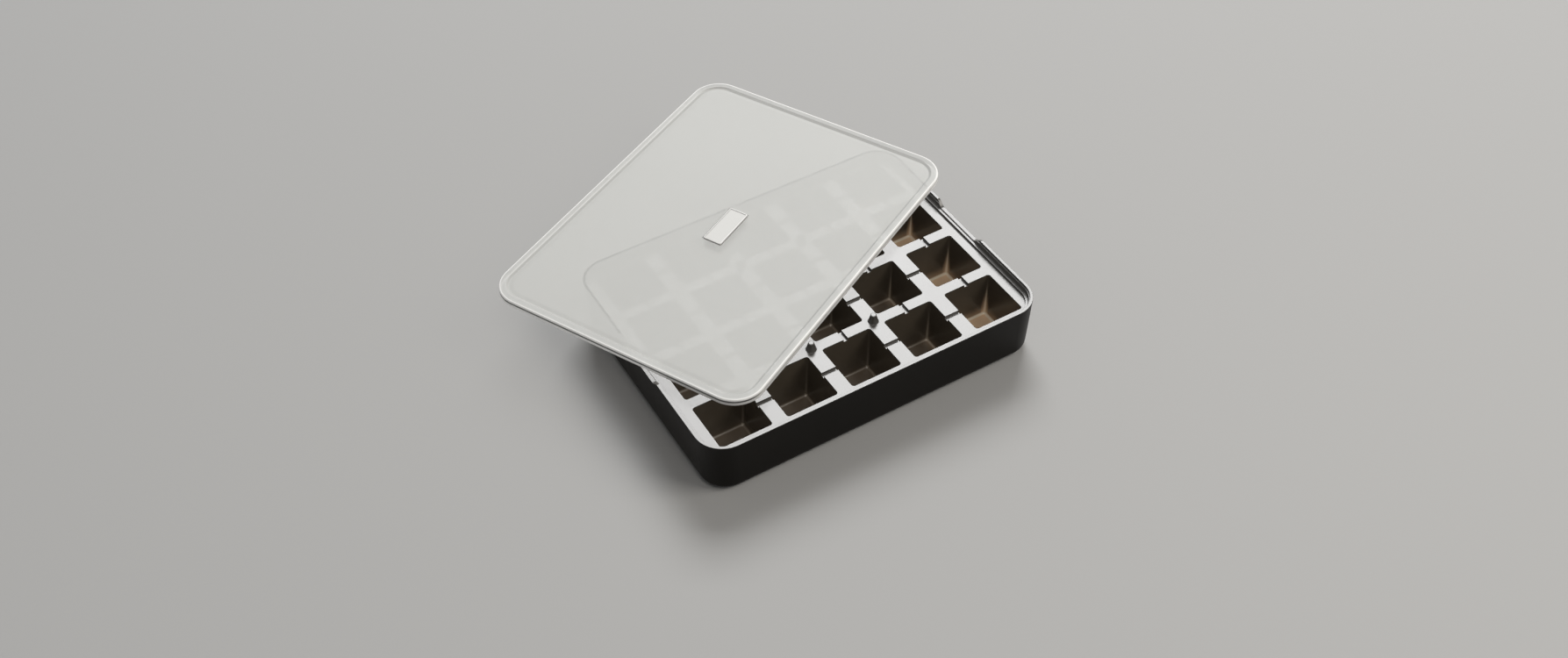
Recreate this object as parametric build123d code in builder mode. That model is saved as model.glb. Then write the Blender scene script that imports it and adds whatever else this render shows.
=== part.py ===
from build123d import *
from math import atan2, cos, degrees, radians, sin
import os

os.makedirs("parts", exist_ok=True)

# Ice cells: a grid of square cups that narrow towards their floors
columns = 5
rows = 4
cell_length = 30.0
cell_width = 30.5
cell_depth = 27.0
cell_lean = 2.0
cell_corner_radius = 1.6
cell_floor_radius = 1.2
column_wall = 8.8
row_wall = 6.6
floor_thickness = 3.8

# Deck around the cells, ledge inside the rim, and the rim with a step near its top
end_margin = 5.7
side_margin = 3.0
ledge_width = 1.3
ledge_height = 1.3
rim_height = 5.2
rim_lean = 0.4
rim_step_width = 0.5
rim_step_drop = 1.4
rim_thickness = 1.6
rim_edge_radius = 0.4

# Outer wall
tray_corner_radius = 16.0
wall_lean = 1.5
bottom_radius = 4.5

# Finger notches in the middle of both short sides
notch_length = 41.0
notch_depth = 3.2
notch_slope = 4.2
notch_radius = 1.6

# Overflow channels across the walls between the cells
channel_width = 2.5
channel_depth = 1.6

# Pegs on the deck that keep the lid from sagging
peg_columns = 2
peg_rows = 2
peg_base_diameter = 5.9
peg_top_diameter = 3.0
peg_tip_radius = 0.4
peg_drop = 0.2

# Pads that the tray stands on, one under each cell
pad_gap = 5.4
pad_height = 1.4
pad_corner_radius = 3.0
pad_outer_radius = 7.0
pad_edge_radius = 0.6

# Lid, lying askew on the rim
lid_end_overhang = 6.9
lid_side_overhang = 5.3
lid_corner_radius = 17.0
lid_edge_height = 4.2
lid_top_radius = 1.0
lid_bottom_radius = 0.4
lid_border_width = 5.0
lid_border_height = 0.8
lid_groove_level = 2.05
lid_groove_depth = 0.8
lid_groove_height = 1.1
lid_shift_x = -15.2
lid_shift_y = 61.2
lid_turn_degrees = 27.4

# Badge plate let into the middle of the lid
badge_length = 28.4
badge_width = 11.7
badge_thickness = 1.2
badge_corner_radius = 0.8
badge_edge = 0.3
badge_clearance = 0.1
pocket_depth = 0.6

# How far cutting shapes run past the faces they cut
overrun = 1.0

# Sizes that follow from those above
column_pitch = cell_length + column_wall
row_pitch = cell_width + row_wall
deck_length = columns * column_pitch - column_wall + 2 * end_margin
deck_width = rows * row_pitch - row_wall + 2 * side_margin
rim_reach = ledge_width + rim_lean + rim_step_width + rim_thickness
tray_length = deck_length + 2 * rim_reach
tray_width = deck_width + 2 * rim_reach
deck_level = floor_thickness + cell_depth
ledge_level = deck_level + ledge_height
tray_height = deck_level + rim_height
rim_step_level = tray_height - rim_step_drop
ledge_radius = tray_corner_radius - rim_thickness - rim_step_width - rim_lean
lid_length = tray_length + 2 * lid_end_overhang
lid_width = tray_width + 2 * lid_side_overhang
lid_field_height = lid_edge_height - lid_border_height
pocket_level = lid_field_height - pocket_depth
wall_height = tray_height - pad_height
peg_height = rim_height - peg_drop
peg_lean = (peg_base_diameter - peg_top_diameter) / 2

deck = Plane.XY.offset(deck_level)
ledge = Plane.XY.offset(ledge_level)
rim_step = Plane.XY.offset(rim_step_level)
rim_top = Plane.XY.offset(tray_height)
turn = radians(lid_turn_degrees)
seat = Plane((lid_shift_x, lid_shift_y, tray_height), (cos(turn), sin(turn), 0), (0, 0, 1))

# One cell's hollow, drafted from the deck down to a rounded floor
with BuildPart() as cell:
    with BuildSketch(Plane.XY.offset(floor_thickness)):
        Rectangle(cell_length, cell_width)
    extrude(amount=cell_depth)
    cell_sides = cell.faces().filter_by(Axis.Z, reverse=True)
    draft(cell_sides, deck, -degrees(atan2(cell_lean, cell_depth)))
    fillet(cell.edges().group_by(Axis.Z)[1], cell_corner_radius)
    fillet(cell.faces().sort_by(Axis.Z)[0].edges(), cell_floor_radius)

# The hollow inside the rim: from the ledge up it widens a little, then steps out near the top
with BuildPart() as rim_hollow:
    with BuildSketch(ledge):
        RectangleRounded(deck_length + 2 * ledge_width, deck_width + 2 * ledge_width, ledge_radius)
    extrude(amount=rim_step_level - ledge_level)
    hollow_sides = rim_hollow.faces().filter_by(Axis.Z, reverse=True)
    draft(hollow_sides, ledge, -degrees(atan2(rim_lean, rim_step_level - ledge_level)))
    with BuildSketch(rim_step):
        RectangleRounded(
            tray_length - 2 * rim_thickness,
            tray_width - 2 * rim_thickness,
            tray_corner_radius - rim_thickness,
        )
    extrude(amount=rim_step_drop)

# One peg, narrowing to a rounded tip just below the rim's top
with BuildPart() as peg:
    with BuildSketch(deck):
        Circle(peg_base_diameter / 2)
    extrude(amount=peg_height, taper=degrees(atan2(peg_lean, peg_height)))
    fillet(peg.faces().sort_by(Axis.Z)[-1].edges(), peg_tip_radius)

# Pads under the cells, reaching up into the tray's floor and rounded off at its corners
with BuildPart() as pads:
    with BuildSketch():
        with GridLocations(column_pitch, row_pitch, columns, rows):
            RectangleRounded(column_pitch - pad_gap, row_pitch - pad_gap, pad_corner_radius)
        RectangleRounded(
            columns * column_pitch - pad_gap,
            rows * row_pitch - pad_gap,
            pad_outer_radius,
            mode=Mode.INTERSECT,
        )
    extrude(amount=floor_thickness)
    fillet(pads.edges().group_by(Axis.Z)[0], pad_edge_radius)

# Tray: one moulding with its cells, rim, notches, channels, pegs and pads
with BuildPart() as tray:
    # Outer wall, leaning in towards a rounded bottom edge
    with BuildSketch(Plane.XY.offset(pad_height)):
        RectangleRounded(tray_length, tray_width, tray_corner_radius)
    extrude(amount=wall_height)
    outer_sides = tray.faces().filter_by(Axis.Z, reverse=True)
    draft(outer_sides, rim_top, -degrees(atan2(wall_lean, wall_height)))
    fillet(tray.faces().sort_by(Axis.Z)[0].edges(), bottom_radius)

    # Rim with its ledge, and the deck below it
    add(rim_hollow.part, mode=Mode.SUBTRACT)
    fillet(tray.faces().sort_by(Axis.Z)[-1].edges(), rim_edge_radius)
    with BuildSketch(ledge):
        RectangleRounded(deck_length, deck_width, ledge_radius - ledge_width)
    extrude(amount=-ledge_height, mode=Mode.SUBTRACT)

    # Notches, cut straight across both short sides
    with BuildSketch(Plane.YZ):
        with BuildLine():
            Polyline(
                (-notch_length / 2, tray_height),
                (notch_slope - notch_length / 2, tray_height - notch_depth),
                (notch_length / 2 - notch_slope, tray_height - notch_depth),
                (notch_length / 2, tray_height),
                close=True,
            )
        make_face()
        fillet(vertices().group_by(Axis.Y)[0], notch_radius)
    extrude(amount=tray_length, both=True, mode=Mode.SUBTRACT)

    # Pads under the tray, then the cells above them
    add(pads.part)
    with GridLocations(column_pitch, row_pitch, columns, rows):
        add(cell.part, mode=Mode.SUBTRACT)

    # Channels from each cell to its neighbours
    with BuildSketch(deck):
        with GridLocations(column_pitch, row_pitch, columns - 1, rows):
            Rectangle(column_wall + 2 * overrun, channel_width)
        with GridLocations(column_pitch, row_pitch, columns, rows - 1):
            Rectangle(channel_width, row_wall + 2 * overrun)
    extrude(amount=-channel_depth, mode=Mode.SUBTRACT)

    # Pegs where the walls cross, beside the middle column
    with GridLocations(column_pitch, 2 * row_pitch, peg_columns, peg_rows):
        add(peg.part)

# Lid: a flat plate with a raised border, a groove round its edge and a pocket for the badge
with BuildPart() as lid:
    with BuildSketch(seat):
        RectangleRounded(lid_length, lid_width, lid_corner_radius)
    extrude(amount=lid_edge_height)
    fillet(lid.faces().sort_by(Axis.Z)[-1].edges(), lid_top_radius)
    fillet(lid.faces().sort_by(Axis.Z)[0].edges(), lid_bottom_radius)
    with BuildSketch(seat.offset(lid_field_height)):
        RectangleRounded(
            lid_length - 2 * lid_border_width,
            lid_width - 2 * lid_border_width,
            lid_corner_radius - lid_border_width,
        )
    extrude(amount=lid_border_height, mode=Mode.SUBTRACT)
    with BuildSketch(seat.offset(lid_groove_level)):
        RectangleRounded(lid_length + 2 * overrun, lid_width + 2 * overrun, lid_corner_radius + overrun)
        RectangleRounded(
            lid_length - 2 * lid_groove_depth,
            lid_width - 2 * lid_groove_depth,
            lid_corner_radius - lid_groove_depth,
            mode=Mode.SUBTRACT,
        )
    extrude(amount=lid_groove_height, mode=Mode.SUBTRACT)
    with BuildSketch(seat.offset(pocket_level)):
        RectangleRounded(
            badge_length + 2 * badge_clearance,
            badge_width + 2 * badge_clearance,
            badge_corner_radius + badge_clearance,
        )
    extrude(amount=pocket_depth, mode=Mode.SUBTRACT)

# Badge plate: bare, with a chamfered edge, standing a little proud of the lid
with BuildPart() as badge_plate:
    with BuildSketch(seat.offset(pocket_level)):
        RectangleRounded(badge_length, badge_width, badge_corner_radius)
    extrude(amount=badge_thickness)
    chamfer(badge_plate.faces().sort_by(Axis.Z)[-1].edges(), badge_edge)

tray.part.label = "tray"
export_step(tray.part, "parts/tray.step")
lid.part.label = "lid"
export_step(lid.part, "parts/lid.step")
badge_plate.part.label = "badge_plate"
export_step(badge_plate.part, "parts/badge_plate.step")
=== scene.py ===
import bmesh
import bpy
from math import cos, pi, radians, sin
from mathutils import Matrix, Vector


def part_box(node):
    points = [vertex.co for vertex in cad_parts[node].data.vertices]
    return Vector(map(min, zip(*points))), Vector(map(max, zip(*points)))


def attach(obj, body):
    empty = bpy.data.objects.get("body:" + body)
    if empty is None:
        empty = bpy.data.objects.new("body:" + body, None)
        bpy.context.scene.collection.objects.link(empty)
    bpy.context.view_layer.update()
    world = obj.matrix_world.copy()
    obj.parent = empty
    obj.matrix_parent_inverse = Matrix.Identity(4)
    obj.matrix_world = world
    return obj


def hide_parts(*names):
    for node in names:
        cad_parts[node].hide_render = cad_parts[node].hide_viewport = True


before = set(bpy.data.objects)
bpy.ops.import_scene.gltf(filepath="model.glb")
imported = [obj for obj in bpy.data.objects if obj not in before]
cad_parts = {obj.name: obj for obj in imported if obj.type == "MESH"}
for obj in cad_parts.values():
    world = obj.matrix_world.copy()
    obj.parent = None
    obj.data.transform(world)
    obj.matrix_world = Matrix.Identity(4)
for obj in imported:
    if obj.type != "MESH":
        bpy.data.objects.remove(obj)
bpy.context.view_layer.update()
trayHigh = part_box("tray")[1]
badgeLow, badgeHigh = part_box("badge_plate")

mm = 0.001
tiny = 0.02 * mm  # places closer than this count as one
mergeReach = 0.002 * mm
roundSteps = 4  # segments of a small rounding
sharpAngle = radians(30)  # edges sharper than this get a fine rounding
smoothAngle = radians(50)  # faces that meet at less than this are shaded as one
creaseAngle = 0.6  # radians between the faces at a crease

# How much of a normal points along an axis, from 0 to 1
hardly, partly, mostly, wholly = 0.1, 0.5, 0.9, 0.999


# Small helpers for modelling by hand: pick by place, then use an operator

def clearPick():
    if bpy.context.object and bpy.context.object.mode != "OBJECT":
        bpy.ops.object.mode_set(mode="OBJECT")
    bpy.ops.object.select_all(action="DESELECT")


def take(obj):
    clearPick()
    obj.select_set(True)
    bpy.context.view_layer.objects.active = obj


def edit():
    bpy.ops.object.mode_set(mode="EDIT")


def done():
    bpy.ops.object.mode_set(mode="OBJECT")


def pick(kind, test):
    bpy.ops.mesh.select_mode(type=kind)
    bpy.ops.mesh.select_all(action="DESELECT")
    shape = bmesh.from_edit_mesh(bpy.context.object.data)
    shape.normal_update()
    for item in {"VERT": shape.verts, "EDGE": shape.edges, "FACE": shape.faces}[kind]:
        if test(item):
            item.select_set(True)
    bmesh.update_edit_mesh(bpy.context.object.data)


def pickFaces(test):
    pick("FACE", lambda face: test(face.calc_center_median(), face.normal))


def pickEdges(test):
    def passes(edge):
        first, second = edge.verts[0].co, edge.verts[1].co
        return test((first + second) / 2, second - first, edge)

    pick("EDGE", passes)


def pickCorners(test):
    pick("VERT", lambda corner: test(corner.co))


def pickAll(kind):
    bpy.ops.mesh.select_mode(type=kind)
    bpy.ops.mesh.select_all(action="SELECT")


def near(a, b):
    return abs(a - b) < tiny


def clamp(value, most):
    return max(-most, min(most, value))


def upright(run):
    return abs(run.z) > abs(run.x) + abs(run.y)


def drop(depth):
    bpy.ops.mesh.extrude_region_move(TRANSFORM_OT_translate={"value": (0, 0, -depth)})


def roundOff(width, segments=roundSteps, affect="EDGES"):
    bpy.ops.mesh.bevel(offset=width, segments=segments, affect=affect)


def flatPlate(length, width, level):
    clearPick()
    bpy.ops.mesh.primitive_plane_add(size=1, location=(0, 0, level))
    plate = bpy.context.object
    plate.scale = (length, width, 1)
    bpy.ops.object.transform_apply(location=True, scale=True)
    edit()
    return plate


def roundedSlab(length, width, height, corner, segments):
    clearPick()
    bpy.ops.mesh.primitive_cube_add(size=1, location=(0, 0, height / 2))
    slab = bpy.context.object
    slab.scale = (length, width, height)
    bpy.ops.object.transform_apply(location=True, scale=True)
    edit()
    pickEdges(lambda p, run, edge: upright(run))
    roundOff(corner, segments)
    return slab


def copyTo(obj, x, y):
    twin = obj.copy()
    twin.data = obj.data.copy()
    bpy.context.collection.objects.link(twin)
    twin.location = (x, y, 0)
    return twin


def joinInto(target, others):
    take(target)
    for other in others:
        other.select_set(True)
    bpy.ops.object.join()


def soften(obj, width, segments):
    take(obj)
    edge = obj.modifiers.new("edge", "BEVEL")
    edge.width = width
    edge.segments = segments
    edge.limit_method = "ANGLE"
    edge.angle_limit = sharpAngle
    bpy.ops.object.modifier_apply(modifier="edge")
    bpy.ops.object.shade_smooth_by_angle(angle=smoothAngle)
    flow = obj.modifiers.new("flow", "WEIGHTED_NORMAL")
    flow.keep_sharp = True
    bpy.ops.object.modifier_apply(modifier="flow")


def tidyMesh(obj):
    edit()
    bpy.ops.mesh.select_all(action="SELECT")
    bpy.ops.mesh.remove_doubles(threshold=mergeReach)
    bpy.ops.mesh.normals_make_consistent(inside=False)
    shape = bmesh.from_edit_mesh(obj.data)
    openEdges = sum(1 for edge in shape.edges if len(edge.link_faces) != 2)
    done()
    print(obj.name, "faces", len(obj.data.polygons), "open edges", openEdges)


# Tray, grown from a grid whose lines are the edges of the cells and channels

trayForm = {
    "columns": 5,
    "rows": 4,
    "cellLength": 30.0 * mm,
    "cellWidth": 30.5 * mm,
    "cellDepth": 27.0 * mm,
    "cellLean": 2.0 * mm,
    "cornerRadius": 1.6 * mm,
    "floorRadius": 1.2 * mm,
    "columnWall": 8.8 * mm,
    "rowWall": 6.6 * mm,
    "floorThickness": 3.8 * mm,
    "channelWidth": 2.5 * mm,
    "channelDepth": 1.6 * mm,
    "endMargin": 5.7 * mm,
    "sideMargin": 3.0 * mm,
    "gridMargin": 0.5 * mm,
    "outlineSteps": 12,
    "ledgeWidth": 1.3 * mm,
    "ledgeHeight": 1.3 * mm,
    "rimLean": 0.4 * mm,
    "rimStepWidth": 0.5 * mm,
    "rimStepDrop": 1.4 * mm,
    "rimThickness": 1.6 * mm,
    "rimCorner": 16.0 * mm,
    "wallLean": 1.5 * mm,
    "bottomRadius": 4.4 * mm,
    "bottomSteps": 6,
    "notchLength": 43.0 * mm,
    "notchDepth": 3.2 * mm,
    "notchSlope": 6.2 * mm,
    "notchSteps": 8,
    "pegBaseRadius": 2.95 * mm,
    "pegTipRadius": 1.5 * mm,
    "pegHeight": 5.0 * mm,
    "pegRound": 0.4 * mm,
    "pegSides": 32,
    "padGap": 5.4 * mm,
    "padHeight": 1.4 * mm,
    "padCorner": 3.0 * mm,
    "padOuter": 7.0 * mm,
    "padSteps": 6,
    "padEdge": 0.6 * mm,
    "edgeRound": 0.14 * mm,
    "edgeSteps": 3,
}


def centres(count, pitch):
    return [(i - (count - 1) / 2) * pitch for i in range(count)]


def gridLines(places, size, slot, margin):
    lines = [c + s for c in places for s in (-size / 2, -slot / 2, slot / 2, size / 2)]
    return [lines[0] - margin] + lines + [lines[-1] + margin]


def buildTray(f):
    pitchX = f["cellLength"] + f["columnWall"]
    pitchY = f["cellWidth"] + f["rowWall"]
    cellsX, cellsY = centres(f["columns"], pitchX), centres(f["rows"], pitchY)
    halfX, halfY, halfSlot = f["cellLength"] / 2, f["cellWidth"] / 2, f["channelWidth"] / 2
    gridX, gridY = cellsX[-1] + halfX, cellsY[-1] + halfY
    deck = f["floorThickness"] + f["cellDepth"]
    top = trayHigh[2]
    slotFloor = deck - f["channelDepth"]

    xs = gridLines(cellsX, f["cellLength"], f["channelWidth"], f["gridMargin"])
    ys = gridLines(cellsY, f["cellWidth"], f["channelWidth"], f["gridMargin"])
    clearPick()
    bpy.ops.mesh.primitive_grid_add(x_subdivisions=len(xs) - 1, y_subdivisions=len(ys) - 1, size=2)
    tray = bpy.context.object
    tray.name = "moldedTray"
    for corner in tray.data.vertices:
        i = round((corner.co.x + 1) * (len(xs) - 1) / 2)
        j = round((corner.co.y + 1) * (len(ys) - 1) / 2)
        corner.co = (xs[i], ys[j], deck)

    def inCell(p):
        return any(abs(p.x - x) < halfX for x in cellsX) and any(abs(p.y - y) < halfY for y in cellsY)

    def inChannel(p):
        onColumn = any(abs(p.x - x) < halfSlot for x in cellsX)
        onRow = any(abs(p.y - y) < halfSlot for y in cellsY)
        return (onColumn or onRow) and abs(p.x) < gridX and abs(p.y) < gridY

    def shrinkCells(level, lean):
        for x in cellsX:
            for y in cellsY:
                pickFaces(lambda p, n: near(p.z, level) and abs(p.x - x) < halfX and abs(p.y - y) < halfY)
                bpy.ops.transform.resize(
                    value=(1 - lean / halfX, 1 - lean / halfY, 1), center_override=(x, y, level))

    # Channels and cells go down together, then the cells alone, leaning in
    edit()
    pickFaces(lambda p, n: inCell(p) or inChannel(p))
    drop(f["channelDepth"])
    slotLean = f["cellLean"] * f["channelDepth"] / f["cellDepth"]
    shrinkCells(slotFloor, slotLean)
    pickFaces(lambda p, n: near(p.z, slotFloor) and inCell(p))
    drop(f["cellDepth"] - f["channelDepth"])
    shrinkCells(f["floorThickness"], f["cellLean"] - slotLean)

    # Round the four upright corners of every cell, then its floor
    def onSide(value, places, half):
        return any(half - f["cellLean"] - tiny < abs(value - place) < half + tiny for place in places)

    def onFloorEdge(p, run, edge):
        level = near(p.z, f["floorThickness"]) and near(run.z, 0)
        return level and edge.calc_face_angle(0) > creaseAngle

    pickEdges(lambda p, run, edge: upright(run) and onSide(p.x, cellsX, halfX) and onSide(p.y, cellsY, halfY))
    roundOff(f["cornerRadius"])
    pickEdges(onFloorEdge)
    roundOff(f["floorRadius"])

    # Pegs stand where the walls cross beside the middle column
    pegX, pegY = pitchX / 2, pitchY
    pickFaces(lambda p, n: near(p.z, deck) and near(abs(p.x), pegX) and near(abs(p.y), pegY))
    bpy.ops.mesh.delete(type="ONLY_FACE")
    done()
    clearPick()
    bpy.ops.mesh.primitive_cone_add(
        vertices=f["pegSides"], radius1=f["pegBaseRadius"], radius2=f["pegTipRadius"], depth=f["pegHeight"],
        location=(0, 0, deck + f["pegHeight"] / 2))
    peg = bpy.context.object
    bpy.ops.object.transform_apply(location=True)
    edit()
    pickFaces(lambda p, n: near(p.z, deck))
    bpy.ops.mesh.delete(type="ONLY_FACE")
    pickEdges(lambda p, run, edge: near(p.z, deck + f["pegHeight"]))
    roundOff(f["pegRound"])
    done()
    pegPlaces = [(x, y) for x in (-pegX, pegX) for y in (-pegY, pegY)]
    pegs = [copyTo(peg, x, y) for x, y in pegPlaces]
    bpy.data.objects.remove(peg)
    joinInto(tray, pegs)
    edit()
    for x, y in pegPlaces:
        pickEdges(lambda p, run, edge: edge.is_boundary and near(p.z, deck)
                  and abs(p.x - x) < pitchX / 2 and abs(p.y - y) < pitchY / 2)
        bpy.ops.mesh.fill()
    done()
    print("cells and pegs", len(tray.data.polygons))

    # The deck's rounded outline, filled in to the grid
    deckLength = 2 * (gridX + f["endMargin"])
    deckWidth = 2 * (gridY + f["sideMargin"])
    stepIn = f["ledgeWidth"] + f["rimLean"]
    stepOut = stepIn + f["rimStepWidth"]
    reach = stepOut + f["rimThickness"]
    deckCorner = f["rimCorner"] - reach
    heartX, heartY = deckLength / 2 - deckCorner, deckWidth / 2 - deckCorner
    outline = flatPlate(deckLength, deckWidth, deck)
    pickAll("VERT")
    roundOff(deckCorner, f["outlineSteps"], "VERTICES")
    pickAll("FACE")
    bpy.ops.mesh.delete(type="ONLY_FACE")
    done()
    joinInto(tray, [outline])
    edit()
    pickEdges(lambda p, run, edge: edge.is_wire or (edge.is_boundary and near(p.z, deck)))
    bpy.ops.mesh.fill()

    # Ledge, rim, outer wall and rounded bottom, swept from that outline
    def sweep(offset, level):
        bpy.ops.mesh.extrude_region_move()
        shape = bmesh.from_edit_mesh(tray.data)
        for corner in shape.verts:
            if corner.select:
                heart = Vector((clamp(corner.co.x, heartX), clamp(corner.co.y, heartY), level))
                out = Vector((corner.co.x - heart.x, corner.co.y - heart.y, 0)).normalized()
                corner.co = heart + out * (deckCorner + offset)
        bmesh.update_edit_mesh(tray.data)

    pickEdges(lambda p, run, edge: edge.is_boundary)
    ledge = deck + f["ledgeHeight"]
    wallHeight = top - f["padHeight"]
    bendLevel = f["padHeight"] + f["bottomRadius"]
    bendStart = reach - f["wallLean"] * (top - bendLevel) / wallHeight
    sweep(0, ledge)
    sweep(f["ledgeWidth"], ledge)
    sweep(stepIn, top - f["rimStepDrop"])
    sweep(stepOut, top - f["rimStepDrop"])
    sweep(stepOut, top)
    sweep(reach, top)
    for step in range(f["bottomSteps"] + 1):
        turn = step / f["bottomSteps"] * pi / 2
        sweep(bendStart - f["bottomRadius"] * (1 - cos(turn)), bendLevel - f["bottomRadius"] * sin(turn))
    done()
    print("rim and wall", len(tray.data.polygons))

    # One pad under each cell, rounder at the tray's own corners
    padLength, padWidth = pitchX - f["padGap"], pitchY - f["padGap"]

    def makePad(x, y):
        pad = flatPlate(padLength, padWidth, f["padHeight"])
        for signX in (-1, 1):
            for signY in (-1, 1):
                outer = near(x, signX * cellsX[-1]) and near(y, signY * cellsY[-1])
                pickCorners(lambda p: near(p.x, signX * padLength / 2) and near(p.y, signY * padWidth / 2))
                roundOff(f["padOuter" if outer else "padCorner"], f["padSteps"], "VERTICES")
        pickAll("FACE")
        drop(f["padHeight"])
        pickFaces(lambda p, n: near(p.z, f["padHeight"]))
        bpy.ops.mesh.delete(type="ONLY_FACE")
        pickEdges(lambda p, run, edge: near(p.z, 0))
        roundOff(f["padEdge"])
        done()
        pad.location = (x, y, 0)
        return pad

    joinInto(tray, [makePad(x, y) for x in cellsX for y in cellsY])
    edit()
    pickEdges(lambda p, run, edge: edge.is_boundary)
    bpy.ops.mesh.fill()

    # Finger notches in the middle of both short sides, with soft ends
    def onShortSide(p, n):
        return abs(p.x) > deckLength / 2 + f["ledgeWidth"] and p.z > ledge / 2 and abs(n.y) < partly

    def notchTop(y):
        rise = min(1, max(0, (abs(y) - f["notchLength"] / 2) / f["notchSlope"] + 1))
        return top - f["notchDepth"] * (1 + cos(pi * rise)) / 2

    for step in range(f["notchSteps"] + 1):
        for sign in (-1, 1):
            y = sign * (f["notchLength"] / 2 - f["notchSlope"] * step / f["notchSteps"])
            pickFaces(onShortSide)
            bpy.ops.mesh.bisect(plane_co=(0, y, 0), plane_no=(0, 1, 0))
    shape = bmesh.from_edit_mesh(tray.data)
    for corner in shape.verts:
        if abs(corner.co.x) > deckLength / 2 and corner.co.z > ledge:
            corner.co.z = min(corner.co.z, notchTop(corner.co.y))
    bmesh.update_edit_mesh(tray.data)
    done()
    tidyMesh(tray)
    soften(tray, f["edgeRound"], f["edgeSteps"])
    return tray


moldedTray = buildTray(trayForm)


# Lid, modelled flat at the origin and then laid askew on the rim

lidForm = {
    "length": 218.0 * mm,
    "width": 166.0 * mm,
    "corner": 17.0 * mm,
    "cornerSteps": 16,
    "edgeHeight": 4.2 * mm,
    "topRound": 1.0 * mm,
    "bottomRound": 0.4 * mm,
    "borderWidth": 4.0 * mm,
    "borderHeight": 0.8 * mm,
    "stepSlope": 1.3 * mm,
    "stepRound": 0.25 * mm,
    "valleyDepth": 0.2 * mm,
    "valleyWidth": 3.0 * mm,
    "valleySteps": 6,
    "grooveLow": 2.05 * mm,
    "grooveHeight": 1.1 * mm,
    "grooveDepth": 0.8 * mm,
    "pocketLength": 29.0 * mm,
    "pocketWidth": 12.7 * mm,
    "pocketDepth": 0.6 * mm,
    "pocketCorner": 0.9 * mm,
    "edgeRound": 0.18 * mm,
    "edgeSteps": 2,
    "turn": radians(27.4),
}
lidPlace = ((badgeLow[0] + badgeHigh[0]) / 2, (badgeLow[1] + badgeHigh[1]) / 2, trayHigh[2])


def layOnRim(obj):
    take(obj)
    obj.rotation_euler = (0, 0, lidForm["turn"])
    obj.location = lidPlace
    bpy.ops.object.transform_apply(location=True, rotation=True, scale=True)


def buildLid(f):
    lid = roundedSlab(f["length"], f["width"], f["edgeHeight"], f["corner"], f["cornerSteps"])
    lid.name = "frostedLid"
    pickEdges(lambda p, run, edge: near(p.z, f["edgeHeight"]))
    roundOff(f["topRound"])
    pickEdges(lambda p, run, edge: near(p.z, 0))
    roundOff(f["bottomRound"])

    # A line groove round the edge
    for level in (f["grooveLow"], f["grooveLow"] + f["grooveHeight"]):
        bpy.ops.mesh.select_all(action="SELECT")
        bpy.ops.mesh.bisect(plane_co=(0, 0, level), plane_no=(0, 0, 1))
    pickFaces(lambda p, n: abs(n.z) < hardly and near(p.z, f["grooveLow"] + f["grooveHeight"] / 2))
    bpy.ops.mesh.extrude_region_shrink_fatten(TRANSFORM_OT_shrink_fatten={"value": -f["grooveDepth"]})

    # A raised border, a soft valley at its foot, and the field with the badge's pocket in its middle
    field = f["edgeHeight"] - f["borderHeight"]
    foot = field - f["valleyDepth"]
    valleyStep = f["valleyWidth"] / f["valleySteps"]

    def valleyRise(step):
        return f["valleyDepth"] * (1 - cos(pi * step / f["valleySteps"])) / 2

    def onBorderStep(p, run, edge):
        level = near(run.z, 0) and (near(p.z, foot) or near(p.z, f["edgeHeight"]))
        return (level and edge.calc_face_angle(0) > creaseAngle
                and max(face.normal.z for face in edge.link_faces) > mostly)

    pickFaces(lambda p, n: n.z > mostly and near(p.z, f["edgeHeight"]))
    bpy.ops.mesh.inset(thickness=f["borderWidth"] - f["topRound"])
    bpy.ops.mesh.inset(thickness=f["stepSlope"], depth=foot - f["edgeHeight"])
    for step in range(f["valleySteps"]):
        bpy.ops.mesh.inset(thickness=valleyStep, depth=valleyRise(step + 1) - valleyRise(step))
    pickEdges(onBorderStep)
    roundOff(f["stepRound"])
    pickFaces(lambda p, n: n.z > wholly and near(p.z, field))
    bpy.ops.mesh.inset(thickness=valleyStep)
    bpy.ops.mesh.delete(type="ONLY_FACE")
    done()
    pocket = flatPlate(f["pocketLength"], f["pocketWidth"], field)
    pickAll("VERT")
    roundOff(f["pocketCorner"], affect="VERTICES")
    done()
    joinInto(lid, [pocket])
    edit()
    pickEdges(lambda p, run, edge: edge.is_boundary)
    bpy.ops.mesh.fill()
    pickFaces(lambda p, n: near(p.z, field) and near(p.x, 0) and near(p.y, 0))
    drop(f["pocketDepth"])
    done()
    tidyMesh(lid)
    soften(lid, f["edgeRound"], f["edgeSteps"])
    layOnRim(lid)
    return lid


frostedLid = buildLid(lidForm)


# Badge plate, bare, with a shallow framed face

badgeForm = {
    "length": 28.4 * mm,
    "width": 11.7 * mm,
    "thickness": 1.2 * mm,
    "seat": 2.8 * mm,
    "corner": 1.1 * mm,
    "topRound": 0.25 * mm,
    "topSteps": 3,
    "frame": 0.7 * mm,
    "faceDrop": 0.15 * mm,
    "edgeRound": 0.05 * mm,
    "edgeSteps": 2,
}


def buildBadge(f):
    badge = roundedSlab(f["length"], f["width"], f["thickness"], f["corner"], roundSteps)
    badge.name = "bareBadge"
    pickEdges(lambda p, run, edge: near(p.z, f["thickness"]))
    roundOff(f["topRound"], f["topSteps"])
    pickFaces(lambda p, n: n.z > mostly and near(p.z, f["thickness"]))
    bpy.ops.mesh.inset(thickness=f["frame"])
    drop(f["faceDrop"])
    bpy.ops.mesh.select_all(action="SELECT")
    bpy.ops.transform.translate(value=(0, 0, f["seat"]))
    done()
    tidyMesh(badge)
    soften(badge, f["edgeRound"], f["edgeSteps"])
    layOnRim(badge)
    return badge


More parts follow.
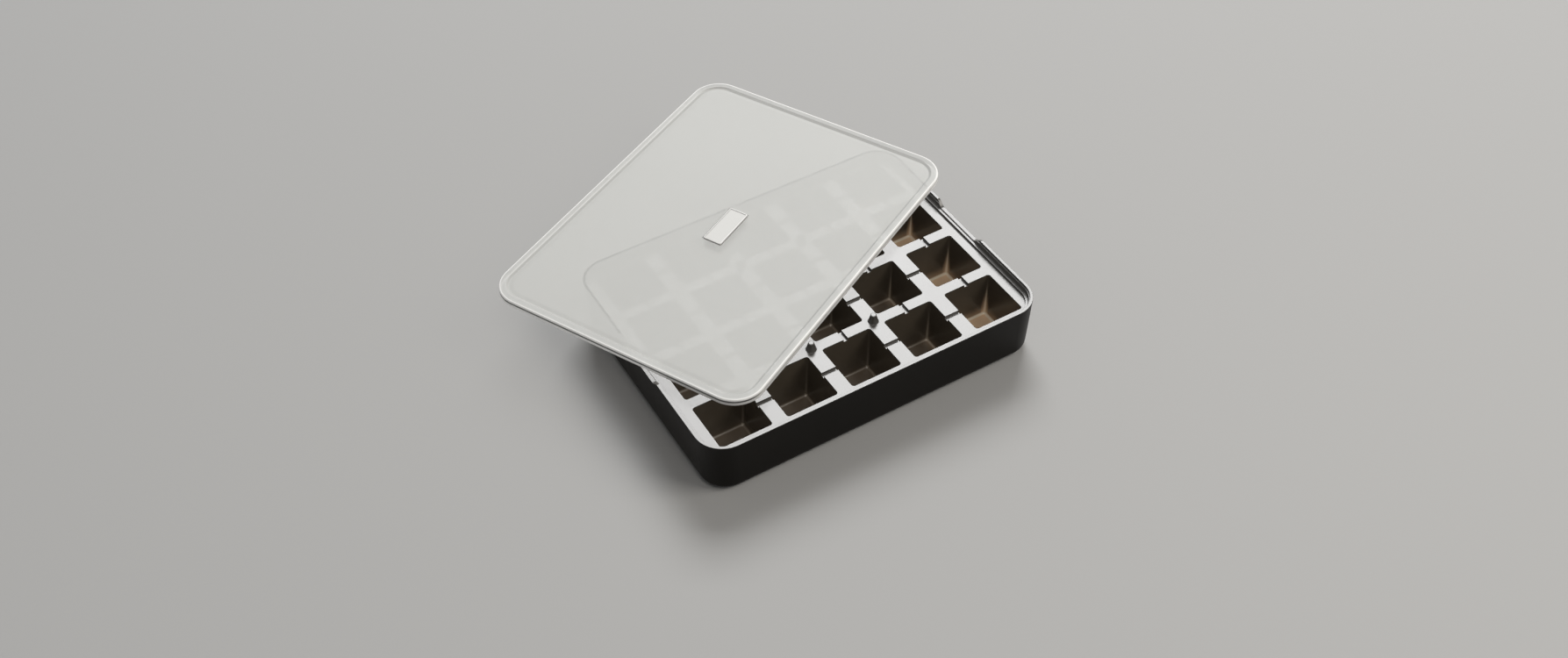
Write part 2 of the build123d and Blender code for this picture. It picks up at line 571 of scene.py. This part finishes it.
bareBadge = buildBadge(badgeForm)


# Shader helpers: each adds one node, fed with sockets or plain values

def feed(tree, node, given):
    for label, value in given.items():
        socket = node.inputs[label]
        if isinstance(value, bpy.types.NodeSocket):
            tree.links.new(value, socket)
        else:
            socket.default_value = value


def addMath(tree, operation, *values):
    node = tree.nodes.new("ShaderNodeMath")
    node.operation = operation
    feed(tree, node, dict(enumerate(values)))
    return node.outputs[0]


def addVector(tree, operation, *values):
    node = tree.nodes.new("ShaderNodeVectorMath")
    node.operation = operation
    feed(tree, node, dict(enumerate(values)))
    return node.outputs["Value" if operation == "LENGTH" else "Vector"]


def splitAxes(tree, vector):
    node = tree.nodes.new("ShaderNodeSeparateXYZ")
    feed(tree, node, {"Vector": vector})
    return [node.outputs[axis] for axis in "XYZ"]


def addNoise(tree, place, scale, detail):
    node = tree.nodes.new("ShaderNodeTexNoise")
    feed(tree, node, {"Vector": place, "Scale": scale, "Detail": detail})
    return node.outputs["Fac"]


def addMix(tree, share, first, second):
    node = tree.nodes.new("ShaderNodeMix")
    node.data_type = "RGBA"
    feed(tree, node, {"Factor": share, "A": first, "B": second})
    return node.outputs["Result"]


def addStep(tree, value, start, end, first, last):
    node = tree.nodes.new("ShaderNodeMapRange")
    node.interpolation_type = "SMOOTHSTEP"
    feed(tree, node, {"Value": value, "From Min": start, "From Max": end, "To Min": first, "To Max": last})
    return node.outputs[0]


def addEdge(tree, value, place, blur, first=0, last=1):
    return addStep(tree, value, place - blur, place + blur, first, last)


# Shader groups shared by the finishes

def newGroup(name, vectors, numbers, results):
    group = bpy.data.node_groups.new(name, "ShaderNodeTree")
    for labels, way, kind in (
            (vectors, "INPUT", "NodeSocketVector"),
            (numbers, "INPUT", "NodeSocketFloat"),
            (results, "OUTPUT", "NodeSocketFloat")):
        for label in labels:
            group.interface.new_socket(name=label, in_out=way, socket_type=kind)
    return group, group.nodes.new("NodeGroupInput").outputs, group.nodes.new("NodeGroupOutput")


# Fine grain and slow clouds of a moulded surface
grainForm = {
    "fineDetail": 2,
    "fineShare": 0.2,
    "cloudDetail": 4,
    "cloudShare": 0.8,
}


def buildMouldGrain(f):
    group, given, out = newGroup(
        "mouldGrain", ["Place"], ["Fine Scale", "Cloud Scale", "Low", "High"],
        ["Roughness", "Height", "Cloud"])
    fine = addNoise(group, given["Place"], given["Fine Scale"], f["fineDetail"])
    cloud = addNoise(group, given["Place"], given["Cloud Scale"], f["cloudDetail"])
    blend = addMath(
        group, "ADD",
        addMath(group, "MULTIPLY", fine, f["fineShare"]),
        addMath(group, "MULTIPLY", cloud, f["cloudShare"]))
    span = addMath(group, "SUBTRACT", given["High"], given["Low"])
    roughness = addMath(group, "MULTIPLY_ADD", blend, span, given["Low"])
    feed(group, out, {"Roughness": roughness, "Height": fine, "Cloud": cloud})
    return group


mouldGrain = buildMouldGrain(grainForm)


# How far out a point is from a rounded outline, less than zero inside it
def buildOutReach():
    group, given, out = newGroup("outReach", ["Place", "Core"], ["Corner"], ["Reach"])
    flat = addVector(group, "MULTIPLY", given["Place"], (1, 1, 0))
    past = addVector(group, "SUBTRACT", addVector(group, "ABSOLUTE", flat), given["Core"])
    around = addVector(group, "LENGTH", addVector(group, "MAXIMUM", past, (0, 0, 0)))
    x, y, _ = splitAxes(group, past)
    within = addMath(group, "MINIMUM", addMath(group, "MAXIMUM", x, y), 0)
    reach = addMath(group, "SUBTRACT", addMath(group, "ADD", around, within), given["Corner"])
    feed(group, out, {"Reach": reach})
    return group


outReach = buildOutReach()


# A new material with its grain, bump and shine already set
def newFinish(name, f):
    finish = bpy.data.materials.new(name)
    finish.use_nodes = True
    tree = finish.node_tree
    shader = tree.nodes["Principled BSDF"]
    place = tree.nodes.new("ShaderNodeTexCoord").outputs["Object"]
    grain = tree.nodes.new("ShaderNodeGroup")
    grain.node_tree = mouldGrain
    feed(tree, grain, {"Place": place, "Fine Scale": f["fineScale"], "Cloud Scale": f["cloudScale"],
                       "Low": f["low"], "High": f["high"]})
    bump = tree.nodes.new("ShaderNodeBump")
    feed(tree, bump, {"Strength": f["bump"], "Distance": f["bumpDepth"], "Height": grain.outputs["Height"]})
    feed(tree, shader, {"Roughness": grain.outputs["Roughness"], "Normal": bump.outputs["Normal"],
                        "Specular IOR Level": f["shine"]})
    return finish, tree, shader, place, grain.outputs["Cloud"]


trayFinish = {
    "deck": (0.066, 0.063, 0.057, 1),
    "deckWarm": (0.083, 0.077, 0.068, 1),
    "cell": (0.064, 0.053, 0.04, 1),
    "cellWarm": (0.094, 0.077, 0.057, 1),
    # The next two colours are painted light: a warm glow on the cell floors and pale highlights in their
    # corners
    "paintedGlow": (0.92, 0.67, 0.45, 1),
    "paintedGlint": (0.98, 0.88, 0.72, 1),
    "cellMargin": 0.15 * mm,
    "gridMargin": 0.2 * mm,
    "floorMargin": 0.1 * mm,
    "lipFrom": 1.2 * mm,
    "lipTo": 0.1 * mm,
    # Sizes and shares of the painted highlights and glow in the cells
    "lineCore": 0.4 * mm,
    "lineWidth": 1.6 * mm,
    "lineTaper": 0.045,
    "dotWidth": 1.9 * mm,
    "dotShare": 0.4,
    "glowWidth": 5.5 * mm,
    "glowTaper": 0.26,
    "glowShare": 0.9,
    "wallGlowTop": 7.0 * mm,
    "wallGlowShare": 0.35,
    "poolFrom": 0.2 * mm,
    "poolTo": 1.2 * mm,
    "strongFrom": 46.0 * mm,
    "strongTo": 64.0 * mm,
    "weakShare": 0.09,
    "farFrom": -8.0 * mm,
    "farTo": 12.0 * mm,
    "nearShare": 0.1,
    "fineScale": 2600.0,
    "cloudScale": 45.0,
    "low": 0.22,
    "high": 0.28,
    "bump": 0.02,
    "bumpDepth": 0.02 * mm,
    "shine": 0.69,
}


def makeTrayFinish(f, form):
    finish, tree, shader, place, cloud = newFinish("satinSilicone", f)
    x, y, z = splitAxes(tree, place)

    # A point's place in its own cell
    pitchX = form["cellLength"] + form["columnWall"]
    pitchY = form["cellWidth"] + form["rowWall"]
    halfX, halfY = form["cellLength"] / 2, form["cellWidth"] / 2
    floor = form["floorThickness"]
    deck = floor + form["cellDepth"]
    localX = addMath(tree, "WRAP", x, pitchX / 2, -pitchX / 2)
    localY = addMath(tree, "WRAP", addMath(tree, "ADD", y, pitchY / 2), pitchY / 2, -pitchY / 2)
    fromX = addMath(tree, "ABSOLUTE", localX)
    fromY = addMath(tree, "ABSOLUTE", localY)

    # Inside the cells, from just above their floors to just below the deck
    gridX = (form["columns"] * pitchX - form["columnWall"]) / 2 + f["gridMargin"]
    gridY = (form["rows"] * pitchY - form["rowWall"]) / 2 + f["gridMargin"]
    cellMask = addMath(
        tree, "MULTIPLY",
        addStep(tree, z, deck - f["lipFrom"], deck - f["lipTo"], 1, 0),
        addMath(tree, "GREATER_THAN", z, floor - f["floorMargin"]))
    for value, limit in (
            (fromX, halfX + f["cellMargin"]),
            (fromY, halfY + f["cellMargin"]),
            (addMath(tree, "ABSOLUTE", x), gridX),
            (addMath(tree, "ABSOLUTE", y), gridY)):
        cellMask = addMath(tree, "MULTIPLY", cellMask, addMath(tree, "LESS_THAN", value, limit))

    # How far a point is from the walls and the floor of its cell
    above = addMath(tree, "SUBTRACT", z, floor)
    lean = addMath(tree, "MULTIPLY", addMath(tree, "SUBTRACT", deck, z), form["cellLean"] / form["cellDepth"])
    toX = addMath(tree, "SUBTRACT", addMath(tree, "SUBTRACT", halfX, lean), fromX)
    toY = addMath(tree, "SUBTRACT", addMath(tree, "SUBTRACT", halfY, lean), fromY)
    apart = addMath(tree, "MAXIMUM", toX, toY)
    corner = addMath(tree, "MULTIPLY_ADD", above, f["lineTaper"], apart)
    around = addMath(tree, "MULTIPLY_ADD", above, f["glowTaper"], apart)
    skirt = addMath(tree, "MAXIMUM", above, addMath(tree, "MINIMUM", toX, toY))

    # Pale lines in the cells' corners are painted highlights, strongest in the right column's far ones
    far = addStep(tree, addMath(tree, "ADD", localX, localY), f["farFrom"], f["farTo"], f["nearShare"], 1)
    strong = addStep(tree, x, f["strongFrom"], f["strongTo"], f["weakShare"], 1)
    side = addMath(tree, "MULTIPLY", far, strong)
    pale = addStep(tree, addMath(tree, "MINIMUM", corner, skirt), f["lineCore"], f["lineWidth"], 1, 0)
    low = addMath(tree, "MAXIMUM", corner, above)
    dot = addStep(tree, low, f["lineCore"], f["dotWidth"], f["dotShare"], 0)
    glintShare = addMath(tree, "MAXIMUM", addMath(tree, "MULTIPLY", pale, side), dot)

    # Painted light on the floors, fading up the walls, with a painted glow round the corners
    glow = addStep(tree, around, f["lineCore"], f["glowWidth"], f["glowShare"], 0)
    wallGlow = addStep(tree, above, 0, f["wallGlowTop"], f["wallGlowShare"], 0)
    pool = addStep(tree, above, f["poolFrom"], f["poolTo"], 1, 0)
    spread = addMath(
        tree, "MAXIMUM", addMath(tree, "MAXIMUM", wallGlow, pool), addMath(tree, "MULTIPLY", glow, strong))
    floorGlowShare = addMath(tree, "MULTIPLY", spread, side)

    flat = addMix(tree, cloud, f["deck"], f["deckWarm"])
    cell = addMix(tree, cloud, f["cell"], f["cellWarm"])
    # Painted glow and painted highlights laid over the cells' own colour
    withPaintedGlow = addMix(tree, glintShare, addMix(tree, floorGlowShare, cell, f["paintedGlow"]), f["paintedGlint"])
    feed(tree, shader, {"Base Color": addMix(tree, cellMask, flat, withPaintedGlow)})
    return finish


# The outside of the tray is duller than the inside, and its much darker colour is painted shade

shadedWallFinish = {
    "base": (0.005, 0.0044, 0.0037, 1),
    "warm": (0.008, 0.0067, 0.0054, 1),
    "fineScale": 2600.0,
    "cloudScale": 45.0,
    "low": 0.34,
    "high": 0.46,
    "bump": 0.08,
    "bumpDepth": 0.03 * mm,
    "shine": 0.12,
}


def makeShadedWallFinish(f):
    finish, tree, shader, _, cloud = newFinish("dullShadedSilicone", f)
    feed(tree, shader, {"Base Color": addMix(tree, cloud, f["base"], f["warm"])})
    return finish


def coatOutside(tray, form, finish):
    coreX, coreY = trayHigh[0] - form["rimCorner"], trayHigh[1] - form["rimCorner"]
    lowDeck = form["floorThickness"] + form["cellDepth"] - form["channelDepth"]

    def outside(p, n):
        out = Vector((max(abs(p.x) - coreX, 0), max(abs(p.y) - coreY, 0))).length - form["rimCorner"]
        onWall = out > -form["rimThickness"] / 2 or (out > -form["bottomRadius"] and p.z < lowDeck)
        return p.z < form["floorThickness"] - tiny or (onWall and n.z < partly)

    # The outside faces take the duller finish, whose dark colour is painted shade
    tray.data.materials.append(finish)
    take(tray)
    edit()
    pickFaces(outside)
    tray.active_material_index = len(tray.data.materials) - 1
    bpy.ops.object.material_slot_assign()
    done()


# A point's place square to the lid's sides, and how far out it is from an outline round the lid's middle
def addLidReach(tree, place, form):
    own = tree.nodes.new("ShaderNodeMapping")
    own.vector_type = "TEXTURE"
    feed(tree, own, {"Vector": place, "Location": lidPlace, "Rotation": (0, 0, lidForm["turn"])})
    rim = tree.nodes.new("ShaderNodeGroup")
    rim.node_tree = outReach
    corner = form["corner"]
    core = (form["length"] / 2 - corner, form["width"] / 2 - corner, 0)
    feed(tree, rim, {"Place": own.outputs["Vector"], "Core": core, "Corner": corner})
    return own.outputs["Vector"], rim.outputs["Reach"]


lidFinish = {
    "base": (0.475, 0.479, 0.463, 1),
    "pale": (0.508, 0.512, 0.496, 1),
    "border": (0.508, 0.512, 0.498, 1),
    "borderBlur": 0.3 * mm,
    # painted highlight along the lid's thick edge
    "edge": (0.96, 0.96, 0.94, 1),
    "paintedEdgeWidth": 1.3 * mm,
    "groove": (0.08, 0.08, 0.078, 1),
    "grooveBlur": 0.1 * mm,
    "sideShade": 0.25,
    "fineScale": 3200.0,
    "cloudScale": 20.0,
    "low": 0.5,
    "high": 0.62,
    "bump": 0.1,
    "bumpDepth": 0.03 * mm,
    "shine": 0.5,
    "milk": 0.3,
    "milkReach": 2.0 * mm,
    "seenShare": 0.755,
    "edgeShare": 0.95,
    "litShare": 0.06,
}


def makeLidFinish(f, form):
    finish, tree, shader, place, cloud = newFinish("frostedPlastic", f)
    own, reach = addLidReach(tree, place, form)
    x, _, z = splitAxes(tree, own)

    # The thick edge is painted whiter than the border and the field, as a painted highlight
    edge = addStep(tree, reach, -f["paintedEdgeWidth"], -f["paintedEdgeWidth"] / 2, 0, 1)
    border = addEdge(tree, reach, -form["borderWidth"], f["borderBlur"])
    field = addMix(tree, cloud, f["base"], f["pale"])
    withEdgeHighlight = addMix(tree, edge, addMix(tree, border, field, f["border"]), f["edge"])

    # Its groove is in shade, most at the ends
    endFrom = form["length"] / 2 - form["corner"]
    endTo = form["length"] / 2 - form["corner"] / 2
    onEnd = addStep(tree, addMath(tree, "ABSOLUTE", x), endFrom, endTo, f["sideShade"], 1)
    overFoot = addEdge(tree, z, form["grooveLow"], f["grooveBlur"])
    underTop = addEdge(tree, z, form["grooveLow"] + form["grooveHeight"], f["grooveBlur"], 1, 0)
    inGroove = addMath(tree, "MULTIPLY", overFoot, underTop)
    shade = addMath(tree, "MULTIPLY", addMath(tree, "MULTIPLY", inGroove, edge), onEnd)

    # The eye sees a milky lid, and lamps shine through it
    toEye = tree.nodes.new("ShaderNodeLightPath").outputs["Is Camera Ray"]
    seen = addStep(tree, reach, -2 * f["paintedEdgeWidth"], -f["paintedEdgeWidth"] / 2, f["seenShare"], f["edgeShare"])
    more = addMath(tree, "SUBTRACT", seen, f["litShare"])
    feed(tree, shader, {
        "Base Color": addMix(tree, shade, withEdgeHighlight, f["groove"]),
        "Alpha": addMath(tree, "MULTIPLY_ADD", toEye, more, f["litShare"]),
        "Subsurface Weight": f["milk"],
        "Subsurface Radius": (1, 1, 1),
        "Subsurface Scale": f["milkReach"],
    })
    return finish


badgeFinish = {
    "face": (0.58, 0.58, 0.565, 1),
    "facePale": (0.63, 0.63, 0.615, 1),
    "frame": (0.8, 0.8, 0.79, 1),
    "frameBlur": 0.1 * mm,
    "fineScale": 2600.0,
    "cloudScale": 120.0,
    "low": 0.5,
    "high": 0.62,
    "bump": 0.06,
    "bumpDepth": 0.02 * mm,
    "shine": 0.5,
}


def makeBadgeFinish(f, form):
    finish, tree, shader, place, cloud = newFinish("satinBadge", f)
    reach = addLidReach(tree, place, form)[1]
    onFrame = addEdge(tree, reach, -form["frame"], f["frameBlur"])
    face = addMix(tree, cloud, f["face"], f["facePale"])
    feed(tree, shader, {"Base Color": addMix(tree, onFrame, face, f["frame"])})
    return finish


for piece, finish, slot, body, node in (
        (moldedTray, makeTrayFinish(trayFinish, trayForm), "tray_silicone", "tray", "tray"),
        (frostedLid, makeLidFinish(lidFinish, lidForm), "lid_plastic", "lid", "lid"),
        (bareBadge, makeBadgeFinish(badgeFinish, badgeForm), "badge_plastic", "lid", "badge_plate")):
    piece.data.materials.clear()
    piece.data.materials.append(finish)
    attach(piece, body)
    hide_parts(node)
coatOutside(moldedTray, trayForm, makeShadedWallFinish(shadedWallFinish))
print("finishes set")


# Studio: pale floor, a large soft box behind, two soft fills in front and an even sky

studio = {
    "floorSize": 12.0,
    "floorColour": (0.45, 0.45, 0.446, 1),
    "floorRoughness": 0.9,
    "floorShine": 0.1,
    "skyColour": (1.0, 1.0, 1.0, 1),
    "skyStrength": 0.18,
}
softBoxes = {
    "backBox": {
        "side": (0.398, 0.568, 0.722), "away": 3.0, "size": 1.5, "glow": 10.2, "colour": (1.0, 1.0, 1.0)},
    "frontFill": {
        "side": (-0.1, -0.52, 0.848), "away": 2.2, "size": 0.6, "glow": 5.4, "colour": (1.0, 0.95, 0.88)},
    "sideFill": {
        "side": (0.54, -0.5, 0.68), "away": 2.2, "size": 1.0, "glow": 5.2, "colour": (1.0, 0.95, 0.88)},
}
shot = {
    "place": (-0.31262, -0.52258, 0.63740),
    "turn": (radians(43.812), radians(1.053), radians(-30.816)),
    "lens": 36.343,
    "sensor": 36.0,
    "clipStart": 0.01,
}


def layFloor(s):
    clearPick()
    bpy.ops.mesh.primitive_plane_add(size=s["floorSize"], location=(0, 0, 0))
    floor = bpy.context.object
    floor.name = "studioFloor"
    paint = bpy.data.materials.new("floorPaint")
    paint.use_nodes = True
    feed(paint.node_tree, paint.node_tree.nodes["Principled BSDF"], {
        "Base Color": s["floorColour"],
        "Roughness": s["floorRoughness"],
        "Specular IOR Level": s["floorShine"],
    })
    floor.data.materials.append(paint)


# The sky is white to the eye and in mirrors, and lights the tray softly
def hangSky(s):
    sky = bpy.data.worlds.new("studioSky")
    sky.use_nodes = True
    tree = sky.node_tree
    path = tree.nodes.new("ShaderNodeLightPath").outputs
    shown = addMath(tree, "MAXIMUM", path["Is Glossy Ray"], path["Is Transmission Ray"])
    shown = addMath(tree, "MAXIMUM", path["Is Camera Ray"], shown)
    strength = addMath(tree, "MULTIPLY_ADD", shown, 1 - s["skyStrength"], s["skyStrength"])
    feed(tree, tree.nodes["Background"], {"Color": s["skyColour"], "Strength": strength})
    bpy.context.scene.world = sky


def addSoftBox(name, s):
    lamp = bpy.data.lights.new(name, "AREA")
    lamp.shape = "RECTANGLE"
    lamp.size = lamp.size_y = s["size"]
    lamp.energy = s["glow"] * pi * s["size"] ** 2
    lamp.color = s["colour"]
    holder = bpy.data.objects.new(name, lamp)
    bpy.context.collection.objects.link(holder)
    aim = Vector(s["side"]).normalized()
    holder.location = aim * s["away"] + Vector((0, 0, trayHigh[2]))
    holder.rotation_euler = aim.to_track_quat("Z", "Y").to_euler()


def placeCamera(s):
    lens = bpy.data.cameras.new("shotCamera")
    lens.lens = s["lens"]
    lens.sensor_width = s["sensor"]
    lens.sensor_fit = "HORIZONTAL"
    lens.clip_start = s["clipStart"]
    viewer = bpy.data.objects.new("shotCamera", lens)
    viewer.location = s["place"]
    viewer.rotation_euler = s["turn"]
    bpy.context.collection.objects.link(viewer)
    bpy.context.scene.camera = viewer
    bpy.context.scene.view_settings.view_transform = "Standard"


layFloor(studio)
hangSky(studio)
for name, box in softBoxes.items():
    addSoftBox(name, box)
placeCamera(shot)
print("studio and camera set")

bpy.context.view_layer.update()
